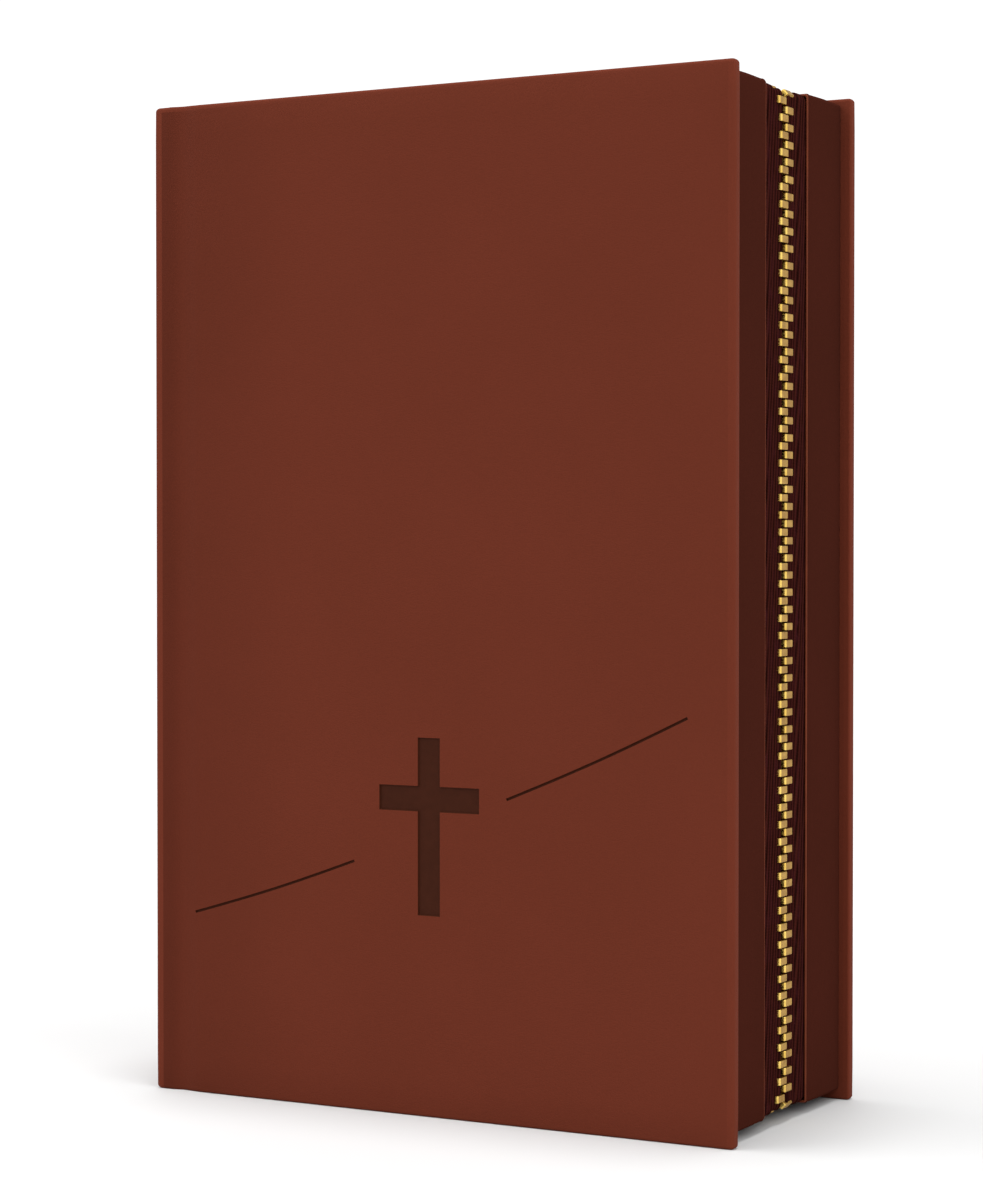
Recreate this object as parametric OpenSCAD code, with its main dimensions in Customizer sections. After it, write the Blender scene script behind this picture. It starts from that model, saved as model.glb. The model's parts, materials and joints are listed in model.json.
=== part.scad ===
// Zip-case bible: a leather case with two hinged covers, a zip round three sides,
// and a sewn text block with leaves that turn.
// Frame: +Z up along the spine, the spine towards -X, the front cover towards -Y.
// Origin: centre of the bottom of the closed case. Millimetres.

/* [Case] */
// Height of the closed case
case_h = 170; // [150:1:190]
// Width from spine to fore-edge
case_w = 110; // [104:1:125]
// Thickness over both covers
case_t = 49.6; // [48:0.2:54]
// Thickness of the covering leather
leather_t = 0.7; // [0.6:0.1:0.9]
// Thickness of the cover boards and of the spine stiffener
board_t = 1.2; // [1:0.1:1.4]
// Thickness of the inner lining
lining_t = 0.5; // [0.4:0.1:0.6]
// Corner radius of the covers, seen square on
cover_corner_r = 1.2; // [0.8:0.1:4]
// Width of the lip that the spine leather turns over each side
spine_lip_w = 3.7; // [3.5:0.1:4]
// Width of the soft groove between the spine and each board
groove_w = 4.5; // [4:0.1:6]

/* [Emblem] */
// Height of the debossed cross
cross_h = 29.4; // [20:0.2:40]
// Width of the debossed cross
cross_w = 19; // [12:0.5:26]
// Width of the cross's bars
cross_bar_w = 4.2; // [3:0.1:6]
// Height of the cross's centre above the tail
cross_z = 48; // [40:1:90]
// Depth of the debossing
deboss_depth = 0.25; // [0.15:0.05:0.4]
// Width of the debossed rule
rule_w = 0.5; // [0.4:0.1:1]

/* [Gusset] */
// Thickness of the gusset leather
gusset_t = 0.6; // [0.5:0.1:0.8]
// Inset of the gusset from the covers' fore-edges
fore_inset = 1.75; // [1.5:0.05:2.5]
// Inset of the gusset from the covers' head edges
head_inset = 0.9; // [0.8:0.1:1.4]
// Inset of the gusset from the covers' tail edges
tail_inset = 1.6; // [1.2:0.1:2]
// Corner radius of the gusset, seen square on
gusset_corner_r = 1.2; // [1.2:0.1:2.6]
// Half the width of the zip window between the two folded edges
window_half = 8.8; // [8:0.1:10]
// Width of the welt on each folded edge
welt_w = 0.5; // [0.4:0.1:0.8]

/* [Zip] */
// Spacing of the teeth in one row
tooth_pitch = 2.8; // [2.8:0.1:3.2]
// Length of a tooth along the chain
tooth_l = 1.15; // [1:0.05:1.15]
// Width of a tooth across the chain
tooth_w = 3; // [2.6:0.1:3]
// Height of a tooth through the tape
tooth_h = 1.6; // [1.5:0.1:1.8]
// Corner radius of the chain's path, to the middle of the tape
chain_r = 1.35; // [1.35:0.05:1.6]
// Reach of a fore-edge tooth past the chain's centre line
tooth_reach = 0.475; // [0.3:0.025:0.5]
// Gap between the centre line and the tooth tips at head, tail and corners
tooth_gap = 0.35; // [0.35:0.05:0.5]
// Thickness of the woven tape
tape_t = 0.5; // [0.4:0.05:0.5]
// Distance of the tape's inner edge from the centre line
tape_edge = 1.1; // [1:0.1:1.3]
// Distance of the tape's sewn edge from the centre line
tape_half = 12.8; // [12:0.1:14]
// Length of the slider's plates
slider_l = 10.5; // [9.5:0.5:10.5]
// Length of the pull tab's grip
grip_l = 21.6; // [16:0.2:26]

/* [Pages] */
// Height of the leaves
page_h = 157; // [140:1:158]
// Thickness of the sewn text block
block_t = 38.5; // [36:0.5:38.5]
// Number of folded sections
section_count = 24; // [12:1:30]
// How far the middle of the spine and fore-edge bow towards the spine
bow = 2; // [1:0.1:2.2]
// Corner radius of the pages
page_corner_r = 4; // [2:0.5:8]
// Thickness of a turning leaf
leaf_t = 0.35; // [0.25:0.05:0.35]
// Clear gap between neighbouring leaves
leaf_gap = 0.3; // [0.2:0.05:0.3]
// Width of the ribbon markers
ribbon_w = 5; // [4:0.5:7]

/* [Hidden] */
$fn = 48;
eps = 0.5;              // overrun of cutting tools past the faces they cut

// Case planes
spine_x = -case_w / 2;
fore_x = case_w / 2;
half_t = case_t / 2;
cover_t = leather_t + board_t + lining_t;
inner_y = half_t - cover_t;                  // inner faces of the covers
lip_x = spine_x + spine_lip_w;               // free edge of the spine's lips
hinge_gap = 0.4;                             // slot between a lip and its cover
cover_x0 = lip_x + hinge_gap;
board_x0 = cover_x0 + groove_w;
lining_x = spine_x + cover_t;                // inner face of the spine lining

// Cover panels
cover_leather = [0.43, 0.2, 0.14];
deep_leather = [0.27, 0.13, 0.09];
tape_colour = [0.2, 0.09, 0.08];
cross_rise = 4.6;                            // height of the cross-arm above the centre
rule_left = [[-46.6, 31.2], [-14.4, 41.7]];
rule_right = [[14.6, 53.1], [47, 67.3]];

// Gusset and zip path, measured to the middle of the tape
gusset_x0 = -42;                             // end of the gusset beside the spine
welt_inset = 0.1;
tape_x0 = -41;
tape_in = gusset_t + tape_t;                 // inner face of the tape below the gusset's
path_in = gusset_t + tape_t / 2;
path_x = fore_x - fore_inset - path_in;
wall_z0 = tail_inset;
wall_z1 = case_h - head_inset;
mid_z = (wall_z0 + wall_z1) / 2;
tail_z = wall_z0 + path_in;                  // middle of the tape on the tail run
head_z = wall_z1 - path_in;
straight = (head_z - tail_z) / 2 - chain_r;
arc = chain_r * PI / 2;
teeth_each_way = ceil((straight + arc + case_w) / tooth_pitch);
tape_in_r = chain_r - tape_t / 2;
corner_slack = tape_in_r - sqrt(pow(tape_in_r, 2) - pow(tooth_l / 2, 2));
back_teeth_x0 = -34;                         // first tooth of the back row at the head
tail_teeth_x0 = -35.5;                       // first tooth of both rows at the tail
end_teeth_x1 = -24;                          // end of the short row of teeth at the head
front_teeth_x0 = -20;                        // first tooth of the front row at the head
front_tape_x0 = -20.6;
tape_slit = 0.6;                             // between the front tape and the short tape
cut_slope = 1;                               // slant of both cuts, along the end piece's swing
strip_y = 5.4;                               // outer strip of tape that runs past the end piece
end_tape_y = 5;
stop_x0 = -38;
stop_l = 1.4;
stop_half_h = 1;
stop_w = 2.2;
patch_t = 1;                                 // leather patches over the tape's ends
patch_l = 5;
patch_x0 = gusset_x0 - 2;
patch_y1 = 8;                                // side of a tail patch under the folded edge
head_tab_half_w = window_half - welt_w - 0.1;
head_tab_rise = 0.55;                        // underside of the head patch above the tape's middle

// Slider, parked on the head run with its mouth towards the fore-edge
slider_x0 = -31;
slider_half_w = 4.3;
slider_clear = 0.2;
plate_t = 1;
plate_z = head_z + tooth_h / 2 + slider_clear;
plate_r = 1.6;
under_plate_t = 0.6;
under_z = head_z - tooth_h / 2 - slider_clear - under_plate_t;
flange_y = tooth_gap + tooth_w + slider_clear;
flange_l = 5;
flange_x0 = slider_x0 + 0.8;
flange_h = (tooth_h - tape_t) / 2;
post_half_w = 0.2;
post_l = 1.6;
post_x0 = slider_x0 + slider_l - 2.4;
pull_x = slider_x0 + slider_l / 2 - 0.25;
pull_r = 0.6;
pull_z = plate_z + plate_t + 0.25 + pull_r;
bail_half_w = 0.8;
bail_half_l = 3.6;
bail_wall = 0.7;
bail_r = 1.2;
bail_clear = 0.2;
arm_inner_y = 1.3;
arm_outer_y = 2.5;
arm_l = 4.6;
grip_half_w = 3.3;
grip_r = 2.2;
grip_lap = 2;                                // length of the arms inside the grip

// Text block: bound edge, fore-edge and the faces of the sewn sections
bound_x = -47.4;
page_x1 = 48;
page_z0 = (case_h - page_h) / 2;
page_z1 = page_z0 + page_h;
leaf_pitch = leaf_t + leaf_gap;
front_leaves = 5;
back_leaves = 3;
block_y0 = -18.6;
block_y1 = block_y0 + block_t;
block_mid = (block_y0 + block_y1) / 2;
section_pitch = block_t / section_count;
section_gap = 0.3;
section_t = section_pitch - section_gap;
pastedown_t = 0.2;
pastedown_over = 2;                          // how far it reaches past the pages
stations = 6;
thread_t = 0.4;
thread_w = 0.6;
mull_t = 0.4;
mull_end = 6;                                // margin at head and tail
tube_wall = 0.3;
tube_end = 8;
tube_half_w = 14;
roll_h = 1.5;                                // headband and tailband
roll_in = 1.4;                               // how far they lie over the pages
roll_out = 0.2;
side_margin = 1;                             // layers on the bound edge stop this short
glue = 0.05;                                 // clearance between layers on the bound edge
strip_y0 = block_y0 + side_margin;
strip_y1 = block_y1 - side_margin;
strip_steps = 12;
ribbon_t = 0.2;
ribbon_head_in = 1.6;
ribbon_over = 0.7;                           // how far it rises over the head
ribbon_tail_z = tail_z + 1.8;

// How far the bound edge and fore-edge are set back towards the spine at y
function bow_at(y) = bow * (1 - pow((y - block_mid) / (block_t / 2), 2));

// Place on the zip's path at arc length s from the middle of the fore-edge: [x, z, tilt]
function on_path(s) =
    let (a = abs(s), way = sign(s))
    a < straight ? [path_x, mid_z + s, 0]
    : a < straight + arc ? let (t = (a - straight) / chain_r * 180 / PI)
        [path_x - chain_r + chain_r * cos(t), mid_z + way * (straight + chain_r * sin(t)), way * t]
    : [path_x - chain_r - (a - straight - arc), mid_z + way * (straight + chain_r), way * 90];

// Extrudes an XZ outline between two heights in Y
module slab_y(y0, y1) {
    translate([0, y1, 0]) rotate([90, 0, 0]) linear_extrude(y1 - y0) children();
}

// XZ rectangle with its two fore-edge corners rounded
module fore_rounded(x0, x1, z0, z1, r) {
    translate([x0, z0]) square([x1 - r - x0, z1 - z0]);
    translate([x0, z0 + r]) square([x1 - x0, z1 - z0 - 2 * r]);
    translate([x1 - r, z0 + r]) circle(r);
    translate([x1 - r, z1 - r]) circle(r);
}

// Outline set in by d from the gusset's outer face, from x0 on, with corners of radius r
module wall_outline(d, x0, r) {
    fore_rounded(x0, fore_x - fore_inset - d, wall_z0 + d, wall_z1 - d, r);
}

// U-shaped band round head, fore-edge and tail between two insets; r is its corner radius
// where the inset is nothing
module band(d0, d1, x0, r) {
    difference() {
        wall_outline(d0, x0, r - d0);
        wall_outline(d1, x0 - eps, r - d1);
    }
}

// Rectangle in XY with rounded corners
module round_plate(x0, x1, half_w, r, h) {
    linear_extrude(h) {
        translate([x0 + r, -half_w]) square([x1 - x0 - 2 * r, 2 * half_w]);
        translate([x0, -half_w + r]) square([x1 - x0, 2 * (half_w - r)]);
        for (x = [x0 + r, x1 - r], y = [-half_w + r, half_w - r])
            translate([x, y]) circle(r);
    }
}

// Strip that follows the bowed bound edge between two offsets, from y0 to y1
module bound_strip(off0, off1, y0, y1) {
    ys = [for (i = [0:strip_steps]) y0 + (y1 - y0) * i / strip_steps];
    outer = [for (y = ys) [bound_x - bow_at(y) - off1, y]];
    inner = [for (i = [strip_steps:-1:0]) [bound_x - bow_at(ys[i]) - off0, ys[i]]];
    polygon(concat(outer, inner));
}

// Groove of a straight rule between two points on the front face
module rule(ends) {
    run = ends[1] - ends[0];
    translate([ends[0][0], -half_t - eps, ends[0][1]])
        rotate([0, -atan2(run[1], run[0]), 0])
            translate([0, 0, -rule_w / 2]) cube([norm(run), deboss_depth + eps, rule_w]);
}

module emblem_cut() {
    translate([-cross_bar_w / 2, -half_t - eps, cross_z - cross_h / 2])
        cube([cross_bar_w, deboss_depth + eps, cross_h]);
    translate([-cross_w / 2, -half_t - eps, cross_z + cross_rise - cross_bar_w / 2])
        cube([cross_w, deboss_depth + eps, cross_bar_w]);
    rule(rule_left);
    rule(rule_right);
}

// Leather of the front cover, turned in round the board on three edges
module cover_tray() {
    difference() {
        slab_y(-half_t, -inner_y)
            fore_rounded(cover_x0, fore_x, 0, case_h, cover_corner_r);
        slab_y(-half_t + leather_t, -inner_y + eps)
            translate([cover_x0 - eps, leather_t])
                square([fore_x - leather_t - cover_x0 + eps, case_h - 2 * leather_t]);
    }
}

module board() {
    slab_y(-half_t + leather_t, -inner_y - lining_t) translate([board_x0, leather_t])
        square([fore_x - leather_t - board_x0, case_h - 2 * leather_t]);
}

module lining() {
    slab_y(-inner_y - lining_t, -inner_y) translate([cover_x0, leather_t])
        square([fore_x - leather_t - cover_x0, case_h - 2 * leather_t]);
}

module pastedown() {
    slab_y(-inner_y, -inner_y + pastedown_t)
        fore_rounded(bound_x, page_x1 + pastedown_over, page_z0, page_z1, page_corner_r);
}

module gusset() {
    slab_y(-inner_y, -window_half) band(0, gusset_t, gusset_x0, gusset_corner_r);
}

module gusset_welt() {
    slab_y(-window_half, -window_half + welt_w)
        band(welt_inset, gusset_t, gusset_x0, gusset_corner_r);
}

// One tooth across the chain at the origin: tips towards -Y, gripping the tape's edge.
// Its slot is deeper by slack on the inside, where the tape bends round a corner.
module tooth(reach, slack) {
    difference() {
        translate([-tooth_h / 2, -reach, -tooth_l / 2]) cube([tooth_h, tooth_w, tooth_l]);
        translate([-tape_t / 2 - slack, tape_edge, -tooth_l])
            cube([tape_t + slack, tooth_w, 2 * tooth_l]);
    }
}

// Row on the +Y side; phase shifts it along the chain in pitches
module tooth_row(phase, head_x0, head_x1, with_rest) {
    for (k = [-teeth_each_way:teeth_each_way]) {
        s = (k + phase) * tooth_pitch;
        place = on_path(s);
        on_head = s > straight + arc;
        on_tail = s < -straight - arc;
        keep = on_head ? place[0] > head_x0 && place[0] < head_x1
            : with_rest && (!on_tail || place[0] > tail_teeth_x0);
        on_fore_edge = abs(s) < straight - tooth_l;
        reach = on_fore_edge ? tooth_reach : -tooth_gap;
        slack = on_fore_edge || abs(s) > straight + arc + tooth_l ? 0 : corner_slack;
        if (keep)
            translate([place[0], 0, place[1]]) rotate([0, -place[2], 0]) tooth(reach, slack);
    }
}

// Stop pinched on the tape edge at a run's end, on the +Y side
module stop_half(z) {
    difference() {
        translate([stop_x0, tooth_gap, z - stop_half_h]) cube([stop_l, stop_w, 2 * stop_half_h]);
        translate([stop_x0 - eps, tape_edge, z - tape_t / 2])
            cube([stop_l + 2 * eps, stop_w, tape_t]);
    }
}

// Leather patch over the tape's end at the tail, on the +Y side
module tail_tab() {
    translate([patch_x0, tooth_gap, tail_z - tape_t / 2 - patch_t])
        cube([patch_l, patch_y1 - tooth_gap, patch_t]);
}

// The short tape's side of a slanted cut that meets the tape's edge at cut_x
module short_side(cut_x, x0, near_y, far_y) {
    polygon([[x0, -near_y], [cut_x - cut_slope * (near_y - tape_edge), -near_y],
        [cut_x - cut_slope * (far_y - tape_edge), -far_y], [x0, -far_y]]);
}

// Turns a front piece into a back piece and the other way round
module mirrored() { mirror([0, 1, 0]) children(); }

// Turning leaf number i, counted from the sewn sections outwards, in front of y = 0
module turning_leaf(face_y, i) {
    y_in = face_y - leaf_gap - i * leaf_pitch;
    slab_y(y_in - leaf_t, y_in)
        fore_rounded(bound_x + glue, page_x1, page_z0, page_z1, page_corner_r);
}

// Spine
module spine_skin() {
    color(cover_leather) difference() {
        translate([spine_x, -half_t, 0]) cube([spine_lip_w, case_t, case_h]);
        translate([spine_x + leather_t, -half_t + leather_t, leather_t])
            cube([spine_lip_w, case_t - 2 * leather_t, case_h - 2 * leather_t]);
    }
}

module spine_board() {
    color("tan") translate([spine_x + leather_t, -half_t + leather_t, leather_t])
        cube([board_t, case_t - 2 * leather_t, case_h - 2 * leather_t]);
}

module spine_lining() {
    x0 = spine_x + leather_t + board_t;
    color("saddlebrown") difference() {
        translate([x0, -half_t + leather_t, leather_t])
            cube([lip_x - x0, case_t - 2 * leather_t, case_h - 2 * leather_t]);
        translate([x0 + lining_t, -half_t + leather_t + lining_t, 0])
            cube([spine_lip_w, case_t - 2 * (leather_t + lining_t), case_h]);
    }
}

// Text block
module text_sections() {
    color("ivory") for (i = [0:section_count - 1]) {
        y = block_y0 + (i + 0.5) * section_pitch;
        fold_x = bound_x - bow_at(y) + section_t / 2;
        slab_y(y - section_t / 2, y + section_t / 2)
            fore_rounded(fold_x, page_x1 - bow_at(y), page_z0, page_z1, page_corner_r);
        translate([fold_x, y, page_z0]) cylinder(h = page_h, r = section_t / 2);
    }
}

module sewing_thread() {
    color("white") for (i = [1:stations])
        translate([0, 0, page_z0 + page_h * i / (stations + 1)]) linear_extrude(thread_w)
            bound_strip(glue, glue + thread_t, strip_y0, strip_y1);
}

module spine_mull() {
    off = glue + thread_t;
    color("beige") translate([0, 0, page_z0 + mull_end]) linear_extrude(page_h - 2 * mull_end)
        bound_strip(off, off + mull_t, strip_y0, strip_y1);
}

// Paper tube between the bound edge and the spine lining
module spine_hollow() {
    off = 2 * glue + thread_t + mull_t;
    y0 = block_mid - tube_half_w;
    y1 = block_mid + tube_half_w;
    color("burlywood") translate([0, 0, page_z0 + tube_end]) linear_extrude(page_h - 2 * tube_end) {
        bound_strip(off, off + tube_wall, y0, y1);
        translate([lining_x, y0]) square([tube_wall, y1 - y0]);
        for (y = [y0, y1 - tube_wall])
            translate([lining_x, y])
                square([bound_x - bow_at(y0) - off - tube_wall / 2 - lining_x, tube_wall]);
    }
}

module band_roll(z) {
    color("goldenrod") translate([0, 0, z]) linear_extrude(roll_h)
        bound_strip(-roll_in, roll_out, strip_y0, strip_y1);
}

module headband() { band_roll(page_z1 + glue); }
module tailband() { band_roll(page_z0 - glue - roll_h); }

// Ribbon lying between two sections, from the head by the spine to the tail
module ribbon(after_section, tail_x) {
    head_x = bound_x + ribbon_head_in;
    y = block_y0 + after_section * section_pitch - ribbon_t / 2;
    slab_y(y, y + ribbon_t)
        polygon([[head_x, page_z1 + ribbon_over], [head_x + ribbon_w, page_z1 + ribbon_over],
            [tail_x + ribbon_w, ribbon_tail_z], [tail_x, ribbon_tail_z]]);
}

module ribbon_marker_1() { color("darkred") ribbon(8, -18); }
module ribbon_marker_2() { color("goldenrod") ribbon(15, -4); }

// Front cover
module front_cover_skin() {
    color(cover_leather) difference() {
        cover_tray();
        emblem_cut();
    }
}
module front_cover_board() { color("tan") board(); }
module front_cover_lining() { color("saddlebrown") lining(); }
module front_pastedown() { color("ivory") pastedown(); }
module front_gusset() { color(deep_leather) gusset(); }
module front_gusset_welt() { color("sienna") gusset_welt(); }
module front_zip_tape() {
    color(tape_colour) difference() {
        slab_y(-tape_half, -tape_edge) band(gusset_t, tape_in, tape_x0, chain_r + path_in);
        translate([0, 0, mid_z]) linear_extrude(case_h)
            short_side(front_tape_x0, tape_x0 - eps, 0, strip_y);
    }
}
module front_zip_teeth() {
    color("goldenrod") mirrored() tooth_row(0, front_teeth_x0, case_w, true);
}
module front_zip_end_tab() { color(deep_leather) mirrored() tail_tab(); }
module front_zip_top_stop() { color("goldenrod") mirrored() stop_half(tail_z); }

// Back cover
module back_cover_skin() { color(cover_leather) mirrored() cover_tray(); }
module back_cover_board() { color("tan") mirrored() board(); }
module back_cover_lining() { color("saddlebrown") mirrored() lining(); }
module back_pastedown() { color("ivory") mirrored() pastedown(); }
module back_gusset() { color(deep_leather) mirrored() gusset(); }
module back_gusset_welt() { color("sienna") mirrored() gusset_welt(); }
module back_zip_tape() {
    color(tape_colour) slab_y(tape_edge, tape_half)
        band(gusset_t, tape_in, tape_x0, chain_r + path_in);
}
module back_zip_teeth() {
    color("goldenrod") tooth_row(0.5, back_teeth_x0, case_w, true);
}
module back_zip_end_tab() { color(deep_leather) tail_tab(); }
module back_zip_top_stop() { color("goldenrod") stop_half(tail_z); }

// Short second half of the zip at its head end, which stays with the back cover
module zip_end_tape() {
    color(tape_colour) translate([0, 0, head_z - tape_t / 2]) linear_extrude(tape_t)
        short_side(front_tape_x0 - tape_slit, tape_x0, tape_edge, end_tape_y);
}
module zip_end_teeth() {
    color("goldenrod") mirrored()
        tooth_row(0, back_teeth_x0, end_teeth_x1 - tooth_l / 2, false);
}
module zip_bottom_stop() {
    color("goldenrod") difference() {
        translate([stop_x0, -stop_w, head_z - stop_half_h])
            cube([stop_l, 2 * stop_w, 2 * stop_half_h]);
        for (y = [-tape_edge - stop_w, tape_edge])
            translate([stop_x0 - eps, y, head_z - tape_t / 2])
                cube([stop_l + 2 * eps, stop_w, tape_t]);
    }
}
module zip_head_tab() {
    color(deep_leather) translate([patch_x0, 0, 0]) {
        translate([0, -head_tab_half_w, head_z + head_tab_rise])
            cube([patch_l, 2 * head_tab_half_w, patch_t]);
        translate([0, -end_tape_y, head_z + tape_t / 2])
            cube([patch_l, 2 * end_tape_y, head_tab_rise - tape_t / 2]);
    }
}

// Slider
module slider_body() {
    x1 = slider_x0 + slider_l;
    color("darkgoldenrod") {
        translate([0, 0, plate_z]) round_plate(slider_x0, x1, slider_half_w, plate_r, plate_t);
        translate([0, 0, under_z])
            round_plate(slider_x0, x1, slider_half_w, plate_r, under_plate_t);
        for (y = [-slider_half_w, flange_y], z = [plate_z - flange_h, under_z + under_plate_t])
            translate([flange_x0, y, z]) cube([flange_l, slider_half_w - flange_y, flange_h]);
        translate([post_x0, -post_half_w, under_z + under_plate_t])
            cube([post_l, 2 * post_half_w, plate_z - under_z - under_plate_t]);
    }
}
module slider_bail() {
    under = pull_z + pull_r + bail_clear;
    top = under + bail_wall;
    base = plate_z + plate_t;
    round_x = bail_half_l - bail_r;
    color("goldenrod") slab_y(-bail_half_w, bail_half_w) translate([pull_x, 0]) difference() {
        union() {
            translate([-bail_half_l, base]) square([2 * bail_half_l, top - bail_r - base]);
            translate([-round_x, base]) square([2 * round_x, top - base]);
            for (x = [-round_x, round_x])
                translate([x, top - bail_r]) circle(bail_r);
        }
        translate([-bail_half_l + bail_wall, base - eps])
            square([2 * (bail_half_l - bail_wall), under - base + eps]);
    }
}

// Pull tab: a cross bar under the bail, two arms and a flat grip
module pull_tab() {
    color("goldenrod") translate([pull_x, 0, pull_z]) {
        translate([0, arm_outer_y, 0]) rotate([90, 0, 0])
            cylinder(h = 2 * arm_outer_y, r = pull_r);
        for (y = [-arm_outer_y, arm_inner_y])
            translate([0, y, -pull_r])
                cube([arm_l + grip_lap, arm_outer_y - arm_inner_y, 2 * pull_r]);
        translate([0, 0, -pull_r])
            round_plate(arm_l, arm_l + grip_l, grip_half_w, grip_r, 2 * pull_r);
    }
}

// Leaves
module front_leaf(i) { color("ivory") turning_leaf(block_y0, i); }
module back_leaf(i) { color("ivory") mirrored() turning_leaf(-block_y1, i); }

module front_leaf_1() { front_leaf(0); }
module front_leaf_2() { front_leaf(1); }
module front_leaf_3() { front_leaf(2); }
module front_leaf_4() { front_leaf(3); }
module front_flyleaf() { front_leaf(front_leaves - 1); }
module back_leaf_1() { back_leaf(0); }
module back_leaf_2() { back_leaf(1); }
module back_flyleaf() { back_leaf(back_leaves - 1); }

spine_skin();
spine_board();
spine_lining();
text_sections();
sewing_thread();
spine_mull();
spine_hollow();
headband();
tailband();
ribbon_marker_1();
ribbon_marker_2();
front_cover_skin();
front_cover_board();
front_cover_lining();
front_pastedown();
front_gusset();
front_gusset_welt();
front_zip_tape();
front_zip_teeth();
front_zip_end_tab();
front_zip_top_stop();
back_cover_skin();
back_cover_board();
back_cover_lining();
back_pastedown();
back_gusset();
back_gusset_welt();
back_zip_tape();
back_zip_teeth();
back_zip_end_tab();
back_zip_top_stop();
zip_end_tape();
zip_end_teeth();
zip_bottom_stop();
zip_head_tab();
slider_body();
slider_bail();
pull_tab();
front_flyleaf();
front_leaf_1();
front_leaf_2();
front_leaf_3();
front_leaf_4();
back_flyleaf();
back_leaf_1();
back_leaf_2();
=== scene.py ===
"""Looks of a zip-case bible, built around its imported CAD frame. Metres, +Z up, spine at -X."""
import json
import math
import random

import bmesh
import bpy
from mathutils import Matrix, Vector, noise


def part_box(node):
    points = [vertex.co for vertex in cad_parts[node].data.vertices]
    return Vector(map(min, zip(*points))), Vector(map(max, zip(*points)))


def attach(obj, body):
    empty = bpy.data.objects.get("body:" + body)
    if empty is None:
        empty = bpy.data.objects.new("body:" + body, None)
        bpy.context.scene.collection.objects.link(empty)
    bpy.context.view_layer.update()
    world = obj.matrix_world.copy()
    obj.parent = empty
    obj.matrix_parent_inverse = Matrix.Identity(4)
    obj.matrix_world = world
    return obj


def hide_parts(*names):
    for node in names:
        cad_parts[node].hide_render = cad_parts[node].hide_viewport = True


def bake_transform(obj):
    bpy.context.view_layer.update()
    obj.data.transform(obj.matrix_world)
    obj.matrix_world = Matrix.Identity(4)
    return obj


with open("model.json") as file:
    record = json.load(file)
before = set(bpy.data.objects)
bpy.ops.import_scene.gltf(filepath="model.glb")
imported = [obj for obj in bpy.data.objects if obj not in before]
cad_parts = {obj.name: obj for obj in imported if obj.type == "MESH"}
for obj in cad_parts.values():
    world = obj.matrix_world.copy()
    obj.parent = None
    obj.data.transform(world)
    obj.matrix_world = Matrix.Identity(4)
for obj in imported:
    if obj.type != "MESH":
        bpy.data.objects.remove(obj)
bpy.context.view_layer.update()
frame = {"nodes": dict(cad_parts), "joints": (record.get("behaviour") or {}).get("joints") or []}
MM = 0.001

# ----- places from the frame
skin_low, skin_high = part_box("front_cover_skin")
spine_low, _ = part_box("spine_skin")
_, lining_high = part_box("front_cover_lining")
board_low, board_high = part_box("front_cover_board")
gusset_low, gusset_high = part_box("front_gusset")
tape_low, tape_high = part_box("front_zip_tape")
welt_low, welt_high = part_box("front_gusset_welt")
pages_low, pages_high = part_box("text_sections")
leaf_low, leaf_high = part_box("front_leaf_1")
# n is the distance from the case's middle plane, towards the cover in hand
HALF_T = -skin_low.y
CASE_H = skin_high.z
FORE_X = skin_high.x
SPINE_X = spine_low.x
BOARD_X0 = board_low.x
INNER_N = -lining_high.y
COVER_T = HALF_T - INNER_N
WINDOW_N = -gusset_high.y
TAPE_N0, TAPE_N1 = -tape_high.y, -tape_low.y
JOINTS = {j["name"]: j for j in frame["joints"]}
HINGE_X = JOINTS["front_cover_hinge"]["pos_m"][0]
SIDES = {"front": -1, "back": 1}


# ----- mesh helpers
def add_mesh(name, verts, faces, smooth_angle=35):
    """A new object from vertices and faces, with its rest positions kept for the materials."""
    mesh = bpy.data.meshes.new(name)
    mesh.from_pydata([tuple(v) for v in verts], [], faces)
    mesh.validate()
    obj = bpy.data.objects.new(name, mesh)
    bpy.context.scene.collection.objects.link(obj)
    tidy_mesh(obj, smooth_angle)
    return obj


def tidy_mesh(obj, smooth_angle=35):
    """Outward normals, smooth shading with edges sharp past an angle, and rest positions."""
    mesh = obj.data
    bm = bmesh.new()
    bm.from_mesh(mesh)
    bmesh.ops.recalc_face_normals(bm, faces=bm.faces)
    limit = math.radians(smooth_angle)
    for edge in bm.edges:
        if len(edge.link_faces) == 2:
            edge.smooth = edge.calc_face_angle(0) < limit
    for face in bm.faces:
        face.smooth = True
    bm.to_mesh(mesh)
    bm.free()
    keep_rest(mesh)


def keep_rest(mesh):
    """Stores where each vertex lies at rest, for the materials to read."""
    rest = mesh.attributes.get("rest") or mesh.attributes.new("rest", "FLOAT_VECTOR", "POINT")
    flat = [c for v in mesh.vertices for c in v.co]
    rest.data.foreach_set("vector", flat)


def grid_faces(rows, cols, caps=True):
    """Quads between rows of points, each row a closed ring of cols points."""
    faces = []
    for r in range(rows - 1):
        for c in range(cols):
            a, b = r * cols + c, r * cols + (c + 1) % cols
            faces.append((a, b, b + cols, a + cols))
    if caps:
        faces.append(tuple(range(cols)))
        faces.append(tuple(range((rows - 1) * cols, rows * cols)))
    return faces


def plate_faces(rows, cols):
    """Faces of a closed plate: rings stacked in rows, out along one side and back on the other."""
    faces = grid_faces(rows, cols, caps=False)
    for base in (0, (rows - 1) * cols):
        for i in range(cols // 2 - 1):
            faces.append((base + i, base + i + 1, base + cols - 2 - i, base + cols - 1 - i))
    return faces


def join_mesh(verts, faces, more_verts, more_faces):
    """Adds a mesh to lists of vertices and faces."""
    base = len(verts)
    verts += more_verts
    faces += [tuple(base + i for i in f) for f in more_faces]


def steps(start, end, count):
    """Evenly spaced values from start to end, both included."""
    return [start + (end - start) * i / count for i in range(count + 1)]


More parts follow.
